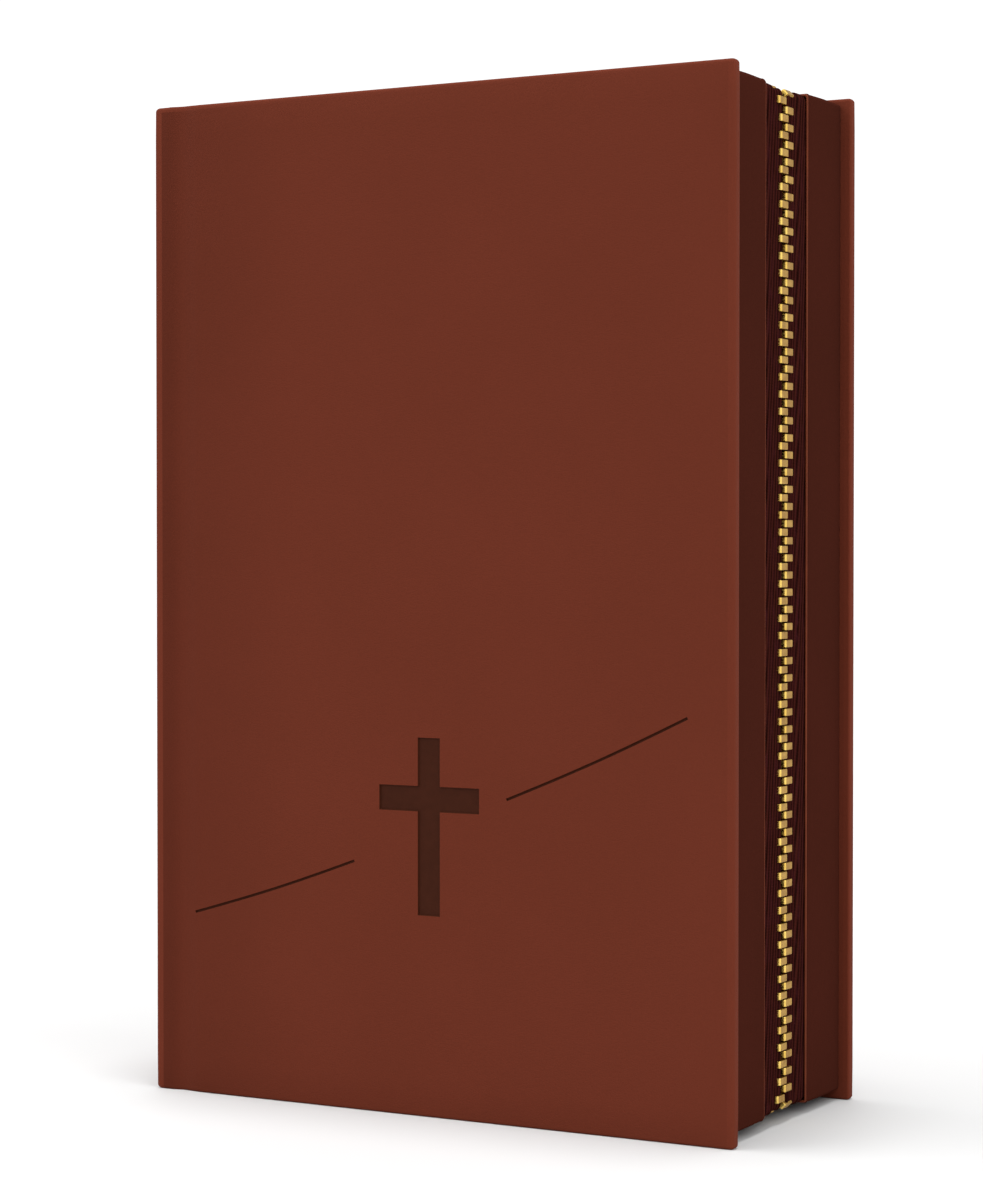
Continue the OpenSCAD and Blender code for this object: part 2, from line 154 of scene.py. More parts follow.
def arc_points(cx, cy, r, a0, a1, count):
    """Points on an arc, angles in degrees."""
    return [(cx + r * math.cos(math.radians(a)), cy + r * math.sin(math.radians(a)))
            for a in steps(a0, a1, count)]


def smooth01(t):
    """A soft step from 0 to 1."""
    t = min(1.0, max(0.0, t))
    return t * t * (3 - 2 * t)


def give(obj, *materials):
    """The object, with these materials and no others."""
    obj.data.materials.clear()
    for m in materials:
        obj.data.materials.append(m)
    return obj


def stand_in(obj, node, body):
    """A piece that replaces one node, which is hidden, and moves with a body."""
    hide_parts(node)
    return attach(obj, body)


def boolean_cut(obj, cutter):
    """Cuts one closed mesh out of another, and removes the cutter."""
    mod = obj.modifiers.new("cut", "BOOLEAN")
    mod.object = cutter
    mod.operation = "DIFFERENCE"
    mod.solver = "EXACT"
    depsgraph = bpy.context.evaluated_depsgraph_get()
    mesh = bpy.data.meshes.new_from_object(obj.evaluated_get(depsgraph))
    obj.modifiers.clear()
    old = obj.data
    obj.data = mesh
    bpy.data.meshes.remove(old)
    bpy.data.objects.remove(cutter)


# ----- material helpers
class Look:
    """A small wrapper round one node material with a Principled shader."""

    def __init__(self, name, rough, metal=0.0):
        self.mat = bpy.data.materials.new(name)
        self.mat.use_nodes = True
        self.tree = self.mat.node_tree
        self.shader = self.tree.nodes["Principled BSDF"]
        self.set("Roughness", rough)
        self.set("Metallic", metal)
        source = self.node("ShaderNodeAttribute", attribute_name="rest")
        self.mm = self.vec("SCALE", source.outputs["Vector"], scale=1 / MM)
        split = self.node("ShaderNodeSeparateXYZ")
        self.link(self.mm, split.inputs[0])
        self.x, self.y, self.z = split.outputs

    def node(self, kind, **props):
        n = self.tree.nodes.new(kind)
        for k, v in props.items():
            setattr(n, k, v)
        return n

    def link(self, a, b):
        self.tree.links.new(a, b)

    def set(self, socket, value):
        self.shader.inputs[socket].default_value = value

    def put(self, value, socket):
        """Links a socket, or sets a plain value."""
        if isinstance(value, bpy.types.NodeSocket):
            self.link(value, socket)
        else:
            socket.default_value = value

    def put_colour(self, value, socket):
        """The same for a colour, which can be a plain (r, g, b)."""
        self.put(value if isinstance(value, bpy.types.NodeSocket) else (*value, 1), socket)

    def vec(self, operation, a, b=None, scale=None):
        n = self.node("ShaderNodeVectorMath", operation=operation)
        self.put(a, n.inputs[0])
        if b is not None:
            self.put(b, n.inputs[1])
        if scale is not None:
            self.put(scale, n.inputs["Scale"])
        return n.outputs[0]

    def math(self, operation, *values):
        n = self.node("ShaderNodeMath", operation=operation)
        for value, socket in zip(values, n.inputs):
            self.put(value, socket)
        return n.outputs[0]

    def noise(self, scale, detail, vector=None):
        n = self.node("ShaderNodeTexNoise")
        self.put(vector or self.mm, n.inputs["Vector"])
        n.inputs["Scale"].default_value = scale
        n.inputs["Detail"].default_value = detail
        return n.outputs["Fac"]

    def cells(self, scale):
        """Distance to the edges of irregular cells."""
        n = self.node("ShaderNodeTexVoronoi", feature="DISTANCE_TO_EDGE")
        self.link(self.mm, n.inputs["Vector"])
        n.inputs["Scale"].default_value = scale
        return n.outputs["Distance"]

    def stretch(self, sx, sy, sz):
        """Coordinates in mm, scaled by axis."""
        return self.vec("MULTIPLY", self.mm, (sx, sy, sz))

    def span(self, value, low, high, out_low=0.0, out_high=1.0):
        n = self.node("ShaderNodeMapRange", clamp=True, interpolation_type="SMOOTHSTEP")
        self.put(value, n.inputs[0])
        for i, v in enumerate((low, high, out_low, out_high)):
            n.inputs[i + 1].default_value = v
        return n.outputs[0]

    def wave(self, value, pitch):
        """A sine of value with that pitch, from 0 to 1."""
        sine = self.math("SINE", self.math("MULTIPLY", value, 2 * math.pi / pitch))
        return self.math("MULTIPLY_ADD", sine, 0.5, 0.5)

    def mix(self, fac, a, b):
        n = self.node("ShaderNodeMix", data_type="RGBA")
        self.put(fac, n.inputs[0])
        self.put_colour(a, n.inputs[6])
        self.put_colour(b, n.inputs[7])
        return n.outputs[2]

    def colour(self, value):
        self.put_colour(value, self.shader.inputs["Base Color"])

    def bump(self, height, strength, distance_mm):
        n = self.node("ShaderNodeBump")
        n.inputs["Strength"].default_value = strength
        n.inputs["Distance"].default_value = distance_mm * MM
        self.link(height, n.inputs["Height"])
        self.link(n.outputs[0], self.shader.inputs["Normal"])

    def roughness(self, value):
        self.put(value, self.shader.inputs["Roughness"])


def srgb(r, g, b, gain=1.0):
    """Linear colour from 8-bit sRGB, times a gain."""
    def lin(c):
        c /= 255
        return gain * (c / 12.92 if c <= 0.04045 else ((c + 0.055) / 1.055) ** 2.4)
    return lin(r), lin(g), lin(b)


# Gains that make the leathers show in the photo's colours under this scene's light
# the second gain darkens the side walls' leather: painted shade
FACE_GAIN, SIDE_SHADE_GAIN = 0.99, 0.715
# Painted shade beside the spine: from and to so many mm, and how bright the leather is at either
# end
GROOVE_SHADE = (2.6, 6.0, 0.84, 1.0)
BOARD_SHADE = (7, 32, 0.88, 1.0)
# Painted highlights along the edges: full up to, and gone at, so many mm from the edge, and how
# bright they are
SPINE_HIGHLIGHT, FORE_HIGHLIGHT, HEAD_HIGHLIGHT = (1.5, 2.0, 1.08), (1.1, 1.5, 1.08), (0.8, 1.1, 1.05)


def cover_shade(look):
    """Painted shade in the groove beside the spine, fading out over the board, and painted
    highlights along the edges.
    """
    from_spine = look.math("SUBTRACT", look.x, SPINE_X / MM)
    painted_light = look.span(from_spine, *GROOVE_SHADE)
    board = look.span(from_spine, *BOARD_SHADE)
    shade = look.math("MULTIPLY", painted_light, board)
    from_fore = look.math("SUBTRACT", FORE_X / MM, look.x)
    from_head = look.math("SUBTRACT", CASE_H / MM, look.z)
    rim_highlights = ((from_spine, SPINE_HIGHLIGHT), (from_fore, FORE_HIGHLIGHT), (from_head, HEAD_HIGHLIGHT))
    # painted highlights: the leather is lighter close to each edge
    for distance, (near, far, light) in rim_highlights:
        shade = look.math("MAXIMUM", shade, look.span(distance, near, far, light, 0.0))
    return shade


GRAIN_MM, GRAIN_DEPTH_MM, LEATHER_ROUGH = 0.55, 0.05, 0.6


def leather_look(name, tone, dark, shine, painted_light=False):
    """Fine-grained leather with pores and a faint cloudiness."""
    look = Look(name, LEATHER_ROUGH)
    cells = look.cells(1 / GRAIN_MM)
    pores = look.noise(3.2, 3)
    cloud = look.noise(0.035, 3)
    colour = look.mix(look.span(cloud, 0.3, 0.7), dark, tone)
    speck = look.span(pores, 0.35, 0.6, 0.9, 1.0)
    colour = look.mix(speck, tuple(c * 0.7 for c in dark), colour)
    # the cover leather gets painted shade beside the spine and painted highlights along its edges
    if painted_light:
        colour = look.vec("SCALE", colour, scale=cover_shade(look))
    look.colour(colour)
    height = look.math("ADD", look.span(cells, 0.0, 0.16), look.math("MULTIPLY", pores, 0.5))
    look.bump(height, 0.35, GRAIN_DEPTH_MM)
    look.roughness(look.span(pores, 0.3, 0.7, LEATHER_ROUGH - 0.07, LEATHER_ROUGH + 0.08))
    look.set("Specular IOR Level", shine)
    return look.mat


def plain_look(name, rough, tone, dark, cloud, grain, bump, shine=0.5):
    """Two tones in soft clouds under a fine grain. cloud and grain are a noise's arguments."""
    look = Look(name, rough)
    look.colour(look.mix(look.noise(*cloud), dark, tone))
    look.bump(look.noise(*grain), *bump)
    look.set("Specular IOR Level", shine)
    return look.mat


LINING_PITCH_MM = 0.42


def lining_look():
    """Plain-woven brown cloth."""
    look = Look("lining_cloth", 0.85)
    warp = look.wave(look.x, LINING_PITCH_MM)
    weft = look.wave(look.z, LINING_PITCH_MM)
    weave = look.math("MAXIMUM", warp, weft)
    look.colour(look.mix(weave, srgb(52, 31, 23), srgb(86, 54, 42)))
    look.bump(weave, 0.5, 0.08)
    look.set("Sheen Weight", 0.06)
    look.set("Specular IOR Level", 0.05)
    return look.mat


RIB_MM, RIB_SLANT, PICK_MM = 1.0, 0.1, 0.5


def tape_look():
    """Twill tape: fine ribs along its length, alternating two dark reds."""
    look = Look("zip_tape", 0.9)
    # distance along the chain is z on the fore-edge and x on head and tail
    along = look.math("ADD", look.z, look.x)
    slant = look.math("SUBTRACT", look.y, look.math("MULTIPLY", along, RIB_SLANT))
    ribs = look.wave(slant, RIB_MM)
    cross = look.wave(along, PICK_MM)
    fleck = look.noise(1.4, 2, vector=look.stretch(0.25, 2.2, 0.25))
    base = look.mix(ribs, srgb(25, 8, 6), srgb(59, 24, 19))
    look.colour(look.mix(look.span(fleck, 0.45, 0.8), base, srgb(55, 21, 24)))
    look.bump(look.math("ADD", ribs, look.math("MULTIPLY", cross, 0.5)), 0.6, 0.1)
    look.set("Specular IOR Level", 0.0)
    return look.mat


def brass_look(name, tone, dark, rough):
    """Worn brass with fine scratches."""
    look = Look(name, rough, 1.0)
    wear = look.noise(0.35, 3)
    look.colour(look.mix(look.span(wear, 0.3, 0.7), dark, tone))
    scratches = look.noise(3, 3, vector=look.stretch(0.4, 6, 2))
    look.roughness(look.span(scratches, 0.3, 0.7, rough - 0.08, rough + 0.12))
    look.bump(scratches, 0.15, 0.02)
    return look.mat


INK = 0.32


def paper_look(name, tone, dark, lines=False):
    """Paper with fine fibres, plain or with bars that stand for print."""
    look = Look(name, 0.8)
    fibres = look.noise(1.6, 4, vector=look.stretch(1, 1, 0.35))
    colour = look.mix(fibres, dark, tone)
    if lines:
        colour = look.mix(text_mask(look), colour, tuple(c * INK for c in tone))
    look.colour(colour)
    look.bump(fibres, 0.12, 0.03)
    return look.mat


LINE_MM, HALF_GAP_MM, HALF_TEXT_W_MM, HALF_TEXT_H_MM = 2.6, 2.0, 37.5, 67.5


def text_mask(look):
    """Two columns of short grey bars that stand for lines of print: no letters."""
    row = look.span(look.wave(look.z, LINE_MM), 0.72, 0.8)
    words = look.span(look.noise(0.8, 1, vector=look.stretch(1, 0, 3)), 0.4, 0.44)
    mask = look.math("MULTIPLY", row, words)
    centre = (leaf_low.x + leaf_high.x) / 2 / MM + 2
    column = look.math("ABSOLUTE", look.math("SUBTRACT", look.x, centre))
    mask = look.math("MULTIPLY", mask, look.span(column, HALF_GAP_MM, HALF_GAP_MM + 0.1))
    mask = look.math("MULTIPLY", mask, look.span(column, HALF_TEXT_W_MM, HALF_TEXT_W_MM - 0.1))
    middle = (leaf_low.z + leaf_high.z) / 2 / MM
    height = look.math("ABSOLUTE", look.math("SUBTRACT", look.z, middle))
    mask = look.math("MULTIPLY", mask, look.span(height, HALF_TEXT_H_MM, HALF_TEXT_H_MM - 0.5))
    return look.math("MULTIPLY", mask, 0.75)


SILK_THREAD_MM = 0.32


def silk_look(name, tone, dark, pitch, along="y"):
    """Silk with stripes of a pitch in mm across one axis."""
    look = Look(name, 0.45)
    stripe = look.span(look.wave(getattr(look, along), pitch), 0.35, 0.65)
    thread = look.wave(getattr(look, along), SILK_THREAD_MM)
    look.colour(look.mix(stripe, dark, tone))
    look.bump(thread, 0.6, 0.08)
    look.set("Sheen Weight", 0.4)
    return look.mat


def cloth_look(name, tone, dark, pitch):
    """Open cloth or thread with a weave of a pitch in mm."""
    look = Look(name, 0.8)
    weave = look.math("MULTIPLY", look.wave(look.y, pitch), look.wave(look.z, pitch))
    look.colour(look.mix(weave, dark, tone))
    look.bump(weave, 0.6, 0.1)
    return look.mat


COVER = leather_look("cover_leather", srgb(99, 45, 31, FACE_GAIN), srgb(97, 44, 30, FACE_GAIN),
                     shine=0.02, painted_light=True)
# a darker copy of the cover leather, painted shade for the side walls; the patches use it too
SHADED_LEATHER = leather_look("gusset_leather", srgb(76, 35, 26, SIDE_SHADE_GAIN), srgb(73, 34, 25, SIDE_SHADE_GAIN),
                    shine=0.0)
BURNISHED = plain_look("burnished_leather", 0.45, srgb(62, 29, 17, FACE_GAIN),
                       srgb(52, 23, 12, FACE_GAIN), (0.8, 3), (2.5, 3), (0.25, 0.04), 0.04)
LINING = lining_look()
TAPE = tape_look()
WELT = plain_look("welt_leather", 0.5, srgb(120, 56, 30), srgb(88, 38, 22),
                  (0.3, 3), (3, 2), (0.3, 0.03), 0.12)
TOOTH_TOP = brass_look("zip_brass", srgb(184, 144, 62), srgb(158, 118, 44), 0.4)
# a lighter copy of the brass for the teeth's front and back faces: painted highlight
TOOTH_HIGHLIGHT = brass_look("zip_brass_highlight", srgb(246, 212, 116), srgb(230, 190, 92), 0.3)
SLIDER = brass_look("slider_brass", srgb(198, 160, 84), srgb(174, 136, 66), 0.3)
PAGE_TONES = srgb(240, 230, 206), srgb(228, 215, 186)
PAPER = paper_look("page_paper", *PAGE_TONES)
PRINTED = paper_look("printed_paper", *PAGE_TONES, lines=True)
END_PAPER = paper_look("end_paper", srgb(214, 196, 166), srgb(200, 180, 148))
KRAFT = paper_look("kraft", srgb(168, 128, 88), srgb(146, 108, 72))
MULL = cloth_look("mull", srgb(226, 218, 198), srgb(170, 160, 138), 1.1)
THREAD = cloth_look("thread", srgb(235, 230, 218), srgb(190, 182, 165), 0.3)
BAND = silk_look("band_silk", srgb(196, 150, 70), srgb(110, 40, 34), 1.6)
RIBBON_WINE = silk_look("ribbon_wine", srgb(128, 24, 34), srgb(112, 18, 28), 0.4, "z")
RIBBON_GOLD = silk_look("ribbon_gold", srgb(206, 160, 78), srgb(190, 144, 66), 0.4, "z")
STITCH = cloth_look("stitch_thread", srgb(92, 48, 34), srgb(58, 28, 20), 0.3)
BOARD = plain_look("board", 0.85, srgb(150, 128, 98), srgb(126, 106, 80),
                   (0.5, 5), (2, 4), (0.3, 0.08))


# ----- covers and spine
EDGE_R = 0.65 * MM                        # fore-edge, in section
SPINE_R = 0.8 * MM                        # spine's long edges, in section
END_R = 0.55 * MM                         # head and tail, in section
CORNER_R = 0.9 * MM                       # corners, seen square on
PLATE_T = COVER_T - 0.3 * MM              # leather and board; the lining adds the rest
INNER_R, LIP_R = 0.4 * MM, 0.45 * MM      # inside corner at the spine, turned lip at the fore-edge
GROOVE_X0, GROOVE_X1 = HINGE_X - 1.5 * MM, BOARD_X0 + 0.6 * MM
GROOVE_DEPTH = 0.55 * MM
JOINT_T = 0.9 * MM                        # thickness of the leather alone, across the groove
THIN_X0, THIN_X1 = HINGE_X - 1.4 * MM, BOARD_X0 - 0.3 * MM
CROSS_W, CROSS_H, BAR_W = 19 * MM, 29.4 * MM, 4.2 * MM
CROSS_Z, CROSS_RISE = 48 * MM, 4.6 * MM
DEBOSS = 0.28 * MM
BOARD_GAP = 0.4 * MM                      # the spine board's hollow stops short of the middle
HOLLOW_PLAY = 0.02 * MM
# ends (x, z) of the two rules, in mm
RULES = [((-46.6, 31.2), (-14.4, 41.7)), ((14.6, 53.1), (47.0, 67.3))]
RULE_W, RULE_SAG = 0.5 * MM, 0.35 * MM


def outer_n(x):
    """Height of the leather's outer face above the case's middle plane."""
    t = (x - GROOVE_X0) / (GROOVE_X1 - GROOVE_X0)
    dip = math.sin(math.pi * t) ** 2 * GROOVE_DEPTH if 0 < t < 1 else 0
    return HALF_T - dip


def inner_n(x):
    """The same for its inner face: thin across the joint, full over board and spine."""
    into = smooth01((x - THIN_X0) / (1.0 * MM))
    out = smooth01((THIN_X1 - x) / (1.5 * MM))
    thin = min(into, out)
    full = HALF_T - PLATE_T
    return full + (outer_n(x) - JOINT_T - full) * thin


def leather_paths():
    """Matching outer and inner points (x, n) from the middle of the spine to the fore-edge."""
    inner_x = SPINE_X + PLATE_T
    outer, inner = [], []
    flat_top = HALF_T - SPINE_R
    inner_top = HALF_T - PLATE_T - INNER_R
    for n in steps(0, flat_top, 10)[:-1]:
        outer.append((SPINE_X, n))
        inner.append((inner_x, n * inner_top / flat_top))
    outer += arc_points(SPINE_X + SPINE_R, flat_top, SPINE_R, 180, 90, 6)
    inner += arc_points(inner_x + INNER_R, inner_top, INNER_R, 180, 90, 6)
    xs = steps(inner_x + 0.5 * MM, BOARD_X0 + 1.2 * MM, 26)
    xs += steps(BOARD_X0 + 1.2 * MM, FORE_X - EDGE_R, 40)[1:]
    for x in xs[:-1]:
        outer.append((x, outer_n(x)))
        inner.append((x, inner_n(x)))
    outer += arc_points(FORE_X - EDGE_R, HALF_T - EDGE_R, EDGE_R, 90, 0, 6)
    inner += arc_points(FORE_X - LIP_R, HALF_T - PLATE_T + LIP_R, LIP_R, 270, 360, 6)
    return outer, inner


def rounded_plate(outer, inner, side, z0, z1, rho, corner_r, mid_rows):
    """A closed plate: matching outer and inner paths stacked along z, with rounded ends."""
    half_thick = 0.5 * (Vector(outer[len(outer) // 2]) - Vector(inner[len(inner) // 2])).length
    ends = []                             # distance from the end, share of the thickness
    for a in map(math.radians, (90, 68, 45, 22, 0)):
        ends.append((rho - rho * math.sin(a), 1 - (1 - math.cos(a)) * rho / half_thick))
    levels = [(z0 + d, k) for d, k in ends]
    levels += [(z, 1.0) for z in steps(z0 + rho, z1 - rho, mid_rows)[1:-1]]
    levels += [(z1 - d, k) for d, k in reversed(ends)]
    x_first, x_last = min(p[0] for p in outer), max(p[0] for p in outer)
    verts = []
    for z, k in levels:
        past = max(0.0, z0 + corner_r - z, z - (z1 - corner_r))
        # the corner's arc, held to a quarter at least so that the ends stay wide
        pull = 0.25 + 0.75 * math.sqrt(max(0.0, 1 - (past / corner_r) ** 2))
        for ring, other in ((outer, inner), (inner[::-1], outer[::-1])):
            for (x, n), (ox, on) in zip(ring, other):
                mx, mn = (x + ox) / 2, (n + on) / 2
                px, pn = mx + (x - mx) * k, mn + (n - mn) * k
                if px > x_last - corner_r:
                    px = x_last - corner_r + (px - x_last + corner_r) * pull
                if px < x_first + corner_r:
                    px = x_first + corner_r - (x_first + corner_r - px) * pull
                verts.append((px, side * pn, z))
    return verts, plate_faces(len(levels), len(outer) * 2)


def rule_cutter(start, end):
    """A shallow rounded groove along a gently sagging line on the front face."""
    a, b = Vector((start[0], 0, start[1])) * MM, Vector((end[0], 0, end[1])) * MM
    run = b - a
    side = Vector((-run.z, 0, run.x)).normalized()
    section = [(-0.5, -1), (-0.42, 0.5), (-0.18, 1), (0.18, 1), (0.42, 0.5), (0.5, -1)]
    verts = []
    for t in steps(0, 1, 12):
        centre = a + run * t - side * (RULE_SAG * math.sin(math.pi * t))
        for s, d in section:
            p = centre + side * (s * RULE_W)
            verts.append((p.x, -HALF_T + d * DEBOSS, p.z))
    return add_mesh("rule_cutter", verts, grid_faces(13, len(section)))


def cross_cutter():
    """A Latin cross with sloping sides."""
    def outline(grow):
        w, h, b = CROSS_W / 2 + grow, CROSS_H / 2 + grow, BAR_W / 2 + grow
        up = CROSS_RISE
        return [(-b, -h), (b, -h), (b, up - b), (w, up - b), (w, up + b), (b, up + b), (b, h),
                (-b, h), (-b, up + b), (-w, up + b), (-w, up - b), (-b, up - b)]
    slope = 0.12 * MM
    verts = [(x, -HALF_T - DEBOSS, CROSS_Z + z) for x, z in outline(slope)]
    verts += [(x, -HALF_T + DEBOSS, CROSS_Z + z) for x, z in outline(-slope)]
    return add_mesh("cross_cutter", verts, grid_faces(2, 12))


def make_leather(part):
    """Leather of one cover and half the spine, with the board hollows inside it."""
    side = SIDES[part]
    outer, inner = leather_paths()
    plate = rounded_plate(outer, inner, side, 0, CASE_H, END_R, CORNER_R, 34)
    obj = give(add_mesh(f"{part}_leather", *plate), COVER, BURNISHED)
    if part == "front":
        for cutter in [cross_cutter()] + [rule_cutter(*rule) for rule in RULES]:
            give(cutter, COVER, BURNISHED)
            for poly in cutter.data.polygons:
                poly.material_index = 1
            boolean_cut(obj, cutter)
        tidy_mesh(obj)
    for low, high in ((board_low, board_high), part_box("spine_board")):
        low, high = Vector(low), Vector(high)
        if low.y < 0 < high.y:            # the spine's board: only this side's half
            low.y = BOARD_GAP if side > 0 else low.y
            high.y = -BOARD_GAP if side < 0 else high.y
        elif side > 0:
            low.y, high.y = -high.y, -low.y
        add_hollow(obj, low, high)
    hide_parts(f"{part}_cover_skin", "spine_skin")
    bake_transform(obj)
    return obj


def add_hollow(obj, low, high):
    """A box-shaped hollow in a closed mesh, a little larger than what lies in it."""
    spans = [(a - HOLLOW_PLAY, b + HOLLOW_PLAY) for a, b in zip(low, high)]
    bm = bmesh.new()
    bm.from_mesh(obj.data)
    made = [bm.verts.new((x, y, z)) for x in spans[0] for y in spans[1] for z in spans[2]]
    sides = [(0, 1, 3, 2), (4, 6, 7, 5), (0, 4, 5, 1), (2, 3, 7, 6), (0, 2, 6, 4), (1, 5, 7, 3)]
    shell = [bm.faces.new([made[i] for i in f]) for f in sides]
    bmesh.ops.recalc_face_normals(bm, faces=shell)
    bmesh.ops.reverse_faces(bm, faces=shell)
    bm.to_mesh(obj.data)
    bm.free()
    keep_rest(obj.data)


def make_lining(part):
    """Cloth from the middle of the spine across the joint to the fore-edge wall."""
    side = SIDES[part]
    _, inner = leather_paths()
    thick = COVER_T - PLATE_T
    wall_x = gusset_high.x - 0.4 * MM
    base = [p for p in inner if p[0] < wall_x] + [(wall_x, HALF_T - PLATE_T)]
    top = []
    for i, (x, n) in enumerate(base):
        a = Vector(base[max(0, i - 1)])
        b = Vector(base[min(len(base) - 1, i + 1)])
        t = (b - a).normalized()
        top.append((x + t.y * thick, n - t.x * thick))
    z0, z1 = gusset_low.z + 0.6 * MM, gusset_high.z - 0.6 * MM
    plate = rounded_plate(base, top, side, z0, z1, 0.1 * MM, 0.6 * MM, 30)
    obj = give(add_mesh(f"{part}_lining", *plate), LINING)
    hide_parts(f"{part}_cover_lining", "spine_lining")
    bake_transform(obj)
    return obj


# ----- gusset, welt and tape
WALL_X = gusset_high.x
WALL_Z0, WALL_Z1 = gusset_low.z, gusset_high.z
WALL_R = 0.75 * MM                        # gusset corners, at its outer face
CHAIN_R = 1.6 * MM                        # corners of the zip's path, set out to that face
GUSSET_X0 = gusset_low.x


def wall_frames(x0, r, pitch=3.5 * MM):
    """Points and outward directions round head, fore-edge and tail on the gusset's outer face."""
    cx, top, bottom = WALL_X - r, WALL_Z1 - r, WALL_Z0 + r
    ends, height = max(2, round((cx - x0) / pitch)), round((top - bottom) / pitch)

    def corner(z, a0, a1):
        turns = [(math.cos(math.radians(a)), math.sin(math.radians(a))) for a in steps(a0, a1, 8)]
        return [((cx + r * dx, z + r * dz), (dx, dz)) for dx, dz in turns]

    frames = [((x, WALL_Z1), (0, 1)) for x in steps(x0, cx, ends)[:-1]]
    frames += corner(top, 90, 0)
    frames += [((WALL_X, z), (1, 0)) for z in steps(top, bottom, height)[1:-1]]
    frames += corner(bottom, 0, -90)
    frames += [((x, WALL_Z0), (0, -1)) for x in steps(cx, x0, ends)[1:]]
    return frames


def swept(frames, sections, side, slanted=False):
    """Closed sections of (w, n) points swept along the wall, one per frame. The first can slant."""
    verts = []
    for i, (section, ((x, z), (dx, dz))) in enumerate(zip(sections, frames)):
        for w, n in section:
            shift = cut_shift(n) if slanted and i == 0 else 0.0
            verts.append((x + w * dx + shift, side * n, z + w * dz))
    return verts, grid_faces(len(frames), len(verts) // len(frames))


GUSSET_T = WALL_X - tape_high.x
GUSSET_CROWN, GUSSET_WANDER = 0.08 * MM, 0.06 * MM


def make_gusset(part):
    """Leather wall with a rolled edge beside the zip and a slight soft crown."""
    t = GUSSET_T
    roll = t / 2 - 0.01 * MM
    frames = wall_frames(GUSSET_X0, WALL_R)
    phase = random.Random(7).random() * 6
    sections = []
    for (x, z), _ in frames:
        wander = GUSSET_WANDER * noise.noise(Vector((x * 60, z * 60, phase)))
        edge = WINDOW_N + wander
        ring = []
        for n in steps(INNER_N, edge + t, 8):
            s = (INNER_N - n) / (INNER_N - edge)
            ring.append((-GUSSET_CROWN + GUSSET_CROWN * math.sin(math.pi * s) ** 2, n))
        ring += [(w - t / 2, n) for n, w in arc_points(edge + roll, 0, roll, 90, 270, 6)]
        ring += [(-t, n) for n in steps(edge + t, INNER_N, 4)]
        sections.append(ring)
    mesh = swept(frames, sections, SIDES[part])
    obj = give(add_mesh(f"{part}_gusset_wall", *mesh), SHADED_LEATHER)
    return stand_in(obj, f"{part}_gusset", f"{part}_cover")


WELT_R, WELT_IN = 0.2 * MM, 0.33 * MM


def make_welt(part):
    """Thin tan piping under the rolled edge of the gusset."""
    frames = wall_frames(GUSSET_X0, WALL_R)
    path = arc_points(-welt_low.y - WELT_R, 0, WELT_R, 0, 315, 7)
    ring = [(w - WELT_IN, n) for n, w in path]
    mesh = swept(frames, [ring] * len(frames), SIDES[part])
    obj = give(add_mesh(f"{part}_welt", *mesh), WELT)
    return stand_in(obj, f"{part}_gusset_welt", f"{part}_cover")


TAPE_IN = GUSSET_T                        # below the gusset's outer face
TAPE_T = 0.5 * MM
PATH_IN = TAPE_IN + TAPE_T / 2            # middle of the tape
STRIP_N = 5.4 * MM                        # the front tape is this wide beside the end piece
FRONT_TAPE_X0 = -20.6 * MM                # where the front tape's cut meets its edge
CUT_SLOPE = 1.0
TAPE_X0 = tape_low.x
TAPE_PITCH = 2.8 * MM
CORD_R, CORD_W = 0.42 * MM, 1.1 * MM      # the tape's corded edge
TAPE_CROWN = 0.36 * MM
CROWN_N0, CROWN_N1, CROWN_RUN = 4.4 * MM, -welt_high.y, 1.0 * MM


def crown_at(n, n_in, n_out):
    """A full width of tape puffs up a little between teeth and welt, a narrow piece does not."""
    if n_in > TAPE_N0 or n_out < TAPE_N1:
        return 0.0
    rise = smooth01((n - CROWN_N0) / CROWN_RUN) * smooth01((CROWN_N1 - n) / CROWN_RUN)
    return TAPE_CROWN * rise


def tape_section(n_in, n_out=TAPE_N1, rows=(28, 5)):
    """Woven tape with a corded edge on the zip's side and a soft crown in the window."""
    top = steps(n_out, n_in + CORD_W, rows[0])
    ring = [(crown_at(n, n_in, n_out) - TAPE_IN, n) for n in top]
    ring += [(w - PATH_IN, n) for n, w in arc_points(n_in + CORD_R, 0, CORD_R, 60, 300, 8)]
    ring += [(-TAPE_IN - TAPE_T, n) for n in steps(n_in + CORD_W, n_out, rows[1])]
    return ring


def cut_shift(n):
    """How far a slanted cut across the tape lies towards the spine, away from the tape's edge."""
    return -CUT_SLOPE * (min(n, STRIP_N) - TAPE_N0)


def make_tape(part):
    """One half of the zip's tape."""
    side = SIDES[part]
    frames = wall_frames(TAPE_X0, CHAIN_R, TAPE_PITCH)
    strip = []
    if part == "front":
        # at the head a narrow strip runs on beside the end piece
        strip_end = FRONT_TAPE_X0 + cut_shift(STRIP_N)
        strip = [f for f in frames if f[1][1] == 1 and f[0][0] < strip_end]
        strip.append(((strip_end, WALL_Z1), (0, 1)))
        frames = [f for f in frames if f[1][1] != 1 or f[0][0] > FRONT_TAPE_X0]
        frames.insert(0, ((FRONT_TAPE_X0, WALL_Z1), (0, 1)))
    verts, faces = swept(frames, [tape_section(TAPE_N0)] * len(frames), side, bool(strip))
    if strip:
        join_mesh(verts, faces, *swept(strip, [tape_section(STRIP_N)] * len(strip), side))
    obj = give(add_mesh(f"{part}_tape", verts, faces), TAPE)
    return stand_in(obj, f"{part}_zip_tape", f"{part}_cover")


def make_end_tape():
    """The short tape beside the slider, with its slanted cut towards the fore-edge."""
    low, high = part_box("zip_end_tape")
    xs = [high.x] + steps(high.x + cut_shift(STRIP_N) - MM, low.x, 5)
    frames = [((x, WALL_Z1), (0, 1)) for x in xs]
    sections = [tape_section(TAPE_N0, -low.y, (4, 4))] * len(frames)
    obj = give(add_mesh("end_tape", *swept(frames, sections, -1, slanted=True)), TAPE)
    return stand_in(obj, "zip_end_tape", "back_cover")


